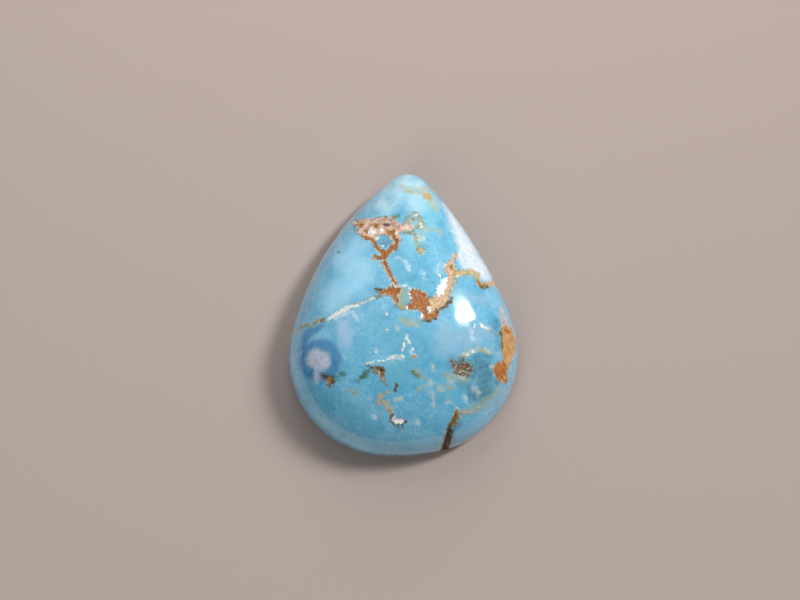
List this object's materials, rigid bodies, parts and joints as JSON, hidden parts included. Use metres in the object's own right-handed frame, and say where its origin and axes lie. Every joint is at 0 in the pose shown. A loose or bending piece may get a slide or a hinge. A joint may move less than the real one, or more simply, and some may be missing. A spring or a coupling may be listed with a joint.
{
  "type": "turquoise cabochon",
  "caption": "Pear-shaped polished turquoise cabochon with a flat back, a smooth domed face, brown matrix veins, small open pits and one open seam at the edge.",
  "frame": {"origin": "middle of the flat back, at the centre of the stone's plan box", "axes": "+Y towards the point of the pear, +Z out of the domed face, +X to the right with the point up"},
  "size_m": [0.016, 0.02, 0.0054],
  "materials": {
    "turquoise": "polished, with rust brown and cream matrix"
  },
  "bodies": {
    "root": {"cabochon": "turquoise"}
  },
  "joints": []
}
